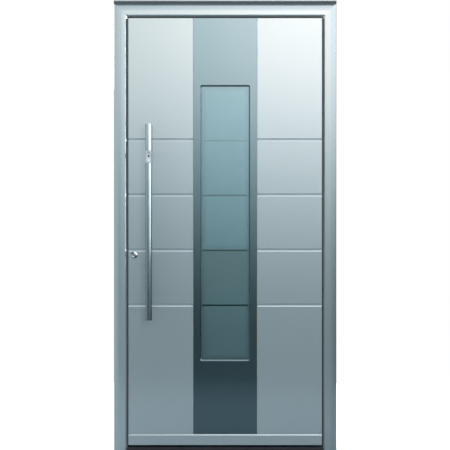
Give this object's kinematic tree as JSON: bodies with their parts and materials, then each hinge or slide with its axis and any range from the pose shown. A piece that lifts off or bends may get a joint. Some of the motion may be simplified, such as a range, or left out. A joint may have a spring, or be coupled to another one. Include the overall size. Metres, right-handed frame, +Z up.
{
  "type": "entrance door with frame",
  "caption": "Single-leaf metal entrance door in its frame, with grooved side panels, a narrow frosted window in a raised-tone centre strip and a long round pull bar.",
  "frame": {"origin": "on the floor, in the middle of the frame's width and depth", "axes": "+X towards the hinge side as seen from the street, +Y towards the room, +Z up"},
  "size_m": [1.115, 0.2325, 2.262],
  "materials": {
    "frame_coating": "satin blue-grey powder coat",
    "leaf_coating": "satin blue-grey powder coat",
    "head_cap_coating": "light coated cap",
    "insulating_plastic": "black glass-filled plastic",
    "cleat_metal": "mill finish",
    "seal_rubber": "soft black",
    "joint_filler": "dark joint strip",
    "threshold_metal": "dark anodised",
    "keep_steel": "satin",
    "lock_steel": "zinc plated",
    "screw_steel": "bright",
    "hinge_coating": "satin powder coat",
    "pin_steel": "bright",
    "foam": "rigid insulating foam",
    "pane_glass": "frosted outer pane",
    "clear_glass": "clear panes",
    "spacer_metal": "warm-edge spacer",
    "cylinder_metal": "nickel plated brass",
    "rosette_steel": "spun",
    "handle_steel": "satin",
    "bar_steel": "lengthwise brushed",
    "reader_metal": "bead blasted",
    "sensor_black": "glossy black"
  },
  "bodies": {
    "frame": {"frame_lock_jamb": "frame_coating", "frame_hinge_jamb": "frame_coating", "frame_head": "frame_coating", "frame_insulating_bars": "insulating_plastic", "frame_corner_cleats": "cleat_metal", "frame_stop_gasket": "seal_rubber", "head_joint_strip": "joint_filler", "head_cap": "head_cap_coating", "threshold_core": "insulating_plastic", "threshold_rail": "threshold_metal", "threshold_end_blocks": "seal_rubber", "latch_keep": "keep_steel", "side_bolt_keeps": "keep_steel", "opener_housing": "lock_steel", "opener_jaw_pin": "lock_steel", "frame_screws": "screw_steel", "hinge_frame_wings": "hinge_coating", "hinge_pins": "pin_steel"},
    "leaf": {"leaf_lock_stile": "leaf_coating", "leaf_hinge_stile": "leaf_coating", "leaf_top_rail": "leaf_coating", "leaf_bottom_rail": "leaf_coating", "leaf_insulating_bars": "insulating_plastic", "leaf_corner_cleats": "cleat_metal", "panel_lock_side": "leaf_coating", "panel_hinge_side": "leaf_coating", "centre_strip": "leaf_coating", "bottom_cover": "leaf_coating", "panel_edge_frame": "insulating_plastic", "infill_core": "foam", "infill_inner_skin": "leaf_coating", "infill_beads": "leaf_coating", "glass_outer": "pane_glass", "glass_inner_panes": "clear_glass", "glass_spacers": "spacer_metal", "window_gasket": "seal_rubber", "window_reveal": "leaf_coating", "window_inner_frame": "leaf_coating", "bottom_seal": "seal_rubber", "hinge_leaf_wings": "hinge_coating", "leaf_screws": "screw_steel", "lock_faceplate": "keep_steel", "lock_case": "lock_steel", "side_bolt_cases": "lock_steel", "cylinder_body": "cylinder_metal", "cylinder_rosette": "rosette_steel", "handle_plate": "handle_steel", "pull_bar": "bar_steel", "pull_bar_caps": "bar_steel", "pull_bar_standoffs": "bar_steel", "reader_housing": "reader_metal", "reader_sensor": "sensor_black"},
    "jaw": {"opener_jaw": "lock_steel"},
    "lever": {"lever_handle": "handle_steel", "lever_spindle": "lock_steel"},
    "latch": {"latch_bolt": "lock_steel"},
    "key_plugs": {"cylinder_plugs": "cylinder_metal"},
    "main_bolt": {"dead_bolt": "lock_steel"},
    "outer_bolts": {"side_bolts": "lock_steel"},
    "rods": {"drive_rods": "lock_steel"}
  },
  "joints": [
    {"name": "leaf_swing", "type": "hinge", "parent": "frame", "child": "leaf", "pos_m": [0.4965, 0.054, 0], "axis": [0, 0, -1], "range_deg": [0, 100]},
    {"name": "lever_turn", "type": "hinge", "parent": "leaf", "child": "lever", "pos_m": [-0.455, 0.028, 1.072], "axis": [0, 1, 0], "range_deg": [0, 40], "stiffness_Nm_per_rad": 2, "springref_deg": -28.65},
    {"name": "latch_slide", "type": "slide", "parent": "leaf", "child": "latch", "axis": [1, 0, 0], "range_m": [0, 0.012]},
    {"name": "key_turn", "type": "hinge", "parent": "leaf", "child": "key_plugs", "pos_m": [-0.455, 0.028, 0.98], "axis": [0, 1, 0], "range_deg": [0, 360]},
    {"name": "dead_bolt_slide", "type": "slide", "parent": "leaf", "child": "main_bolt", "axis": [-1, 0, 0], "range_m": [0, 0.02]},
    {"name": "side_bolts_slide", "type": "slide", "parent": "leaf", "child": "outer_bolts", "axis": [-1, 0, 0], "range_m": [0, 0.02]},
    {"name": "drive_rods_slide", "type": "slide", "parent": "leaf", "child": "rods", "axis": [0, 0, 1], "range_m": [0, 0.018]},
    {"name": "opener_jaw_turn", "type": "hinge", "parent": "frame", "child": "jaw", "pos_m": [-0.51, 0.0372, 1.1], "axis": [0, 0, -1], "range_deg": [0, 90]}
  ],
  "couplings": [
    {"joint": "latch_slide", "follows": "lever_turn", "m_per_rad": 0.0171},
    {"joint": "key_turn", "follows": "drive_rods_slide", "rad_per_m": 349},
    {"joint": "dead_bolt_slide", "follows": "drive_rods_slide", "ratio": 1.11},
    {"joint": "side_bolts_slide", "follows": "drive_rods_slide", "ratio": 1.11}
  ]
}
